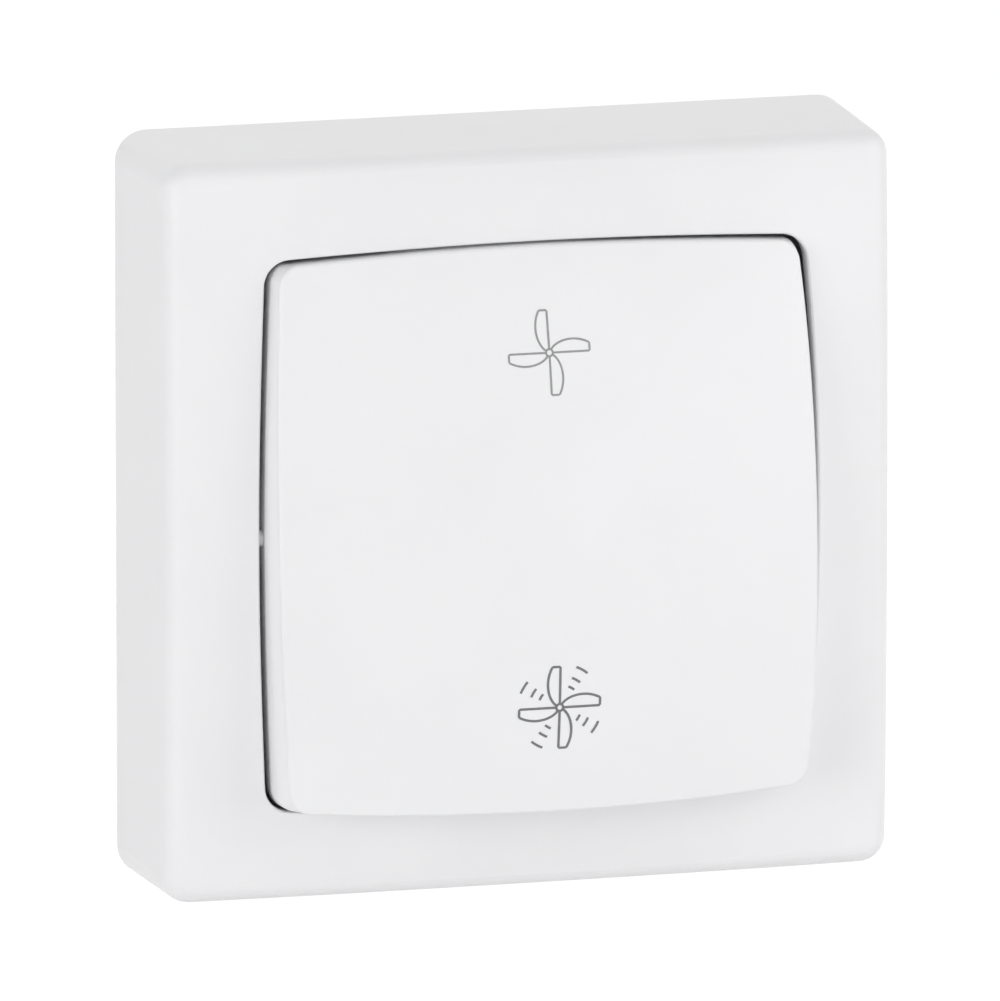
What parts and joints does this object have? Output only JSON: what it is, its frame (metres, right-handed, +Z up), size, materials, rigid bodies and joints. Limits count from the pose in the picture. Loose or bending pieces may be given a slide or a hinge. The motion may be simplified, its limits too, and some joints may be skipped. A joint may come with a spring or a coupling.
{
  "type": "fan switch",
  "caption": "White surface-mount changeover switch for a ventilation fan: deep square cover with a pillow-shaped front and a large rocker key that picks low or high speed.",
  "frame": {"origin": "centre of the back face, on the wall", "axes": "+X to the right seen from the front, +Y into the wall, +Z up"},
  "size_m": [0.082, 0.0316, 0.082],
  "materials": {
    "white_plastic": "smooth white thermoplastic with a soft satin gloss",
    "base_plastic": "matt white moulded plastic",
    "mechanism_plastic": "black moulded insulating plastic",
    "plunger_plastic": "natural low-friction plastic",
    "brass": "stamped brass strip",
    "contact_silver": "silver contact alloy",
    "steel": "zinc-plated steel"
  },
  "bodies": {
    "box": {"base": "base_plastic", "cover_frame": "white_plastic", "mechanism_housing": "mechanism_plastic", "mechanism_lid": "mechanism_plastic", "common_terminal": "brass", "low_speed_terminal": "brass", "high_speed_terminal": "brass", "fixed_contact_low": "contact_silver", "fixed_contact_high": "contact_silver", "common_clamp": "steel", "low_speed_clamp": "steel", "high_speed_clamp": "steel", "terminal_screws": "steel", "mechanism_screws": "steel"},
    "rocker": {"rocker_key": "white_plastic", "plunger_spring": "steel"},
    "plunger": {"plunger": "plunger_plastic"},
    "seesaw": {"seesaw_contact": "brass", "moving_contact_low": "contact_silver", "moving_contact_high": "contact_silver"}
  },
  "joints": [
    {"name": "rocker_tilt", "type": "hinge", "parent": "box", "child": "rocker", "pos_m": [0, -0.0215, 0], "axis": [1, 0, 0], "range_deg": [0, 8.1]},
    {"name": "plunger_slide", "type": "slide", "parent": "rocker", "child": "plunger", "axis": [0, -0.9975, 0.0706], "range_m": [0, 0.0008], "stiffness_N_per_m": 300, "deforming": ["plunger_spring"]},
    {"name": "seesaw_tilt", "type": "hinge", "parent": "box", "child": "seesaw", "pos_m": [0, -0.0082, 0], "axis": [1, 0, 0], "range_deg": [-8.1, 0]}
  ],
  "couplings": [
    {"joint": "seesaw_tilt", "follows": "rocker_tilt", "ratio": -1}
  ]
}
